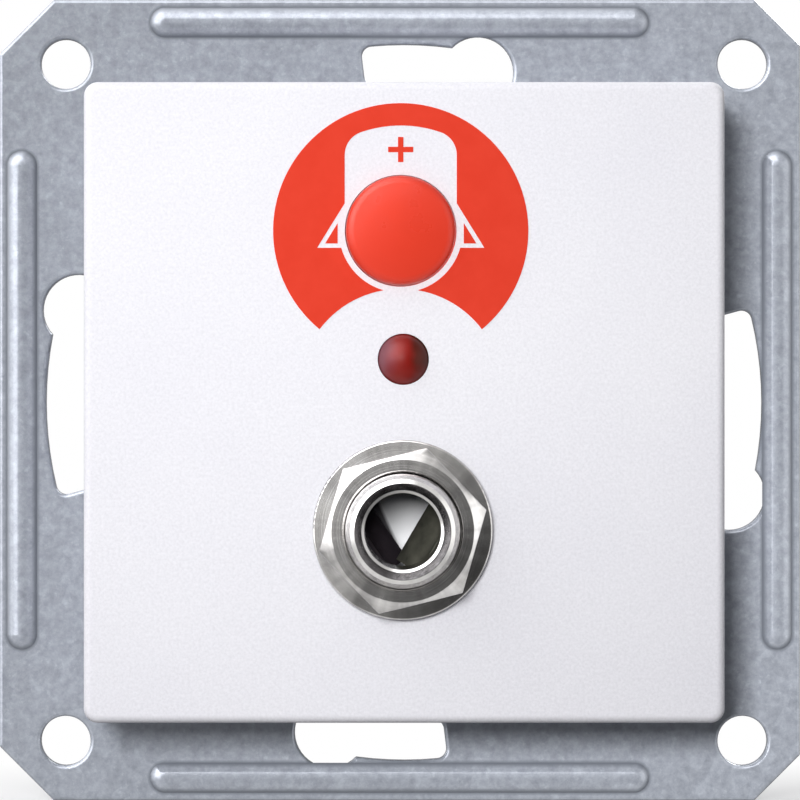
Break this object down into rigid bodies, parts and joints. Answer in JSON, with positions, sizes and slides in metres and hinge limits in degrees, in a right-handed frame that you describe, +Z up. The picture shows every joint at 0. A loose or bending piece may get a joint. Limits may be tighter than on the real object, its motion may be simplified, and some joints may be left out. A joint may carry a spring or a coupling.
{
  "type": "nurse call button",
  "caption": "Flush-mounting nurse call insert: white plate with a sprung red push button in a nurse figure, a red call lamp and a 6.35 mm jack socket, on a steel support ring.",
  "frame": {"origin": "centre of the four corner holes, on the support ring's rear face", "axes": "+X right and +Z up as seen from the front, +Y into the wall; the button and the jack socket face -Y"},
  "size_m": [0.071, 0.0393, 0.071],
  "materials": {
    "zinc_steel": "matt galvanised",
    "white_plate": "fine matt texture",
    "red_ink": "printed",
    "red_button": "satin",
    "red_window": "clear dark red",
    "nickel": "bright nickel",
    "white_insulator": "plain",
    "spring_metal": "nickel-plated",
    "steel": "bright zinc",
    "copper_tinned": "tinned",
    "black_plastic": "plain",
    "grey_plastic": "fine matt",
    "light_plastic": "plain",
    "natural_plastic": "plain",
    "board_green": "solder mask",
    "red_diode": "clear cast",
    "chip_black": "glazed"
  },
  "bodies": {
    "insert": {"support_ring": "zinc_steel", "cover_plate": "white_plate", "printed_sign": "red_ink", "return_spring": "steel", "switch_case": "black_plastic", "switch_base": "black_plastic", "switch_contacts": "copper_tinned", "lamp_window": "red_window", "lamp_diode": "red_diode", "diode_leads": "copper_tinned", "jack_shell": "nickel", "jack_washer": "nickel", "jack_nut": "nickel", "jack_body": "white_insulator", "ring_leaf": "spring_metal", "tip_leaf": "spring_metal", "link_wires": "copper_tinned", "circuit_board": "board_green", "chip_resistors": "chip_black", "chip_ends": "copper_tinned", "terminal_block": "light_plastic", "clamp_cages": "steel", "clamp_screws": "steel", "terminal_pins": "copper_tinned", "rear_housing": "grey_plastic", "machine_screws": "steel"},
    "button": {"call_button": "red_button", "switch_plunger": "natural_plastic", "moving_blade": "spring_metal"}
  },
  "joints": [
    {"name": "call_button_press", "type": "slide", "parent": "insert", "child": "button", "axis": [0, 1, 0], "range_m": [0, 0.0012], "stiffness_N_per_m": 1200, "springref_m": -0.0008, "deforming": ["return_spring"]}
  ]
}
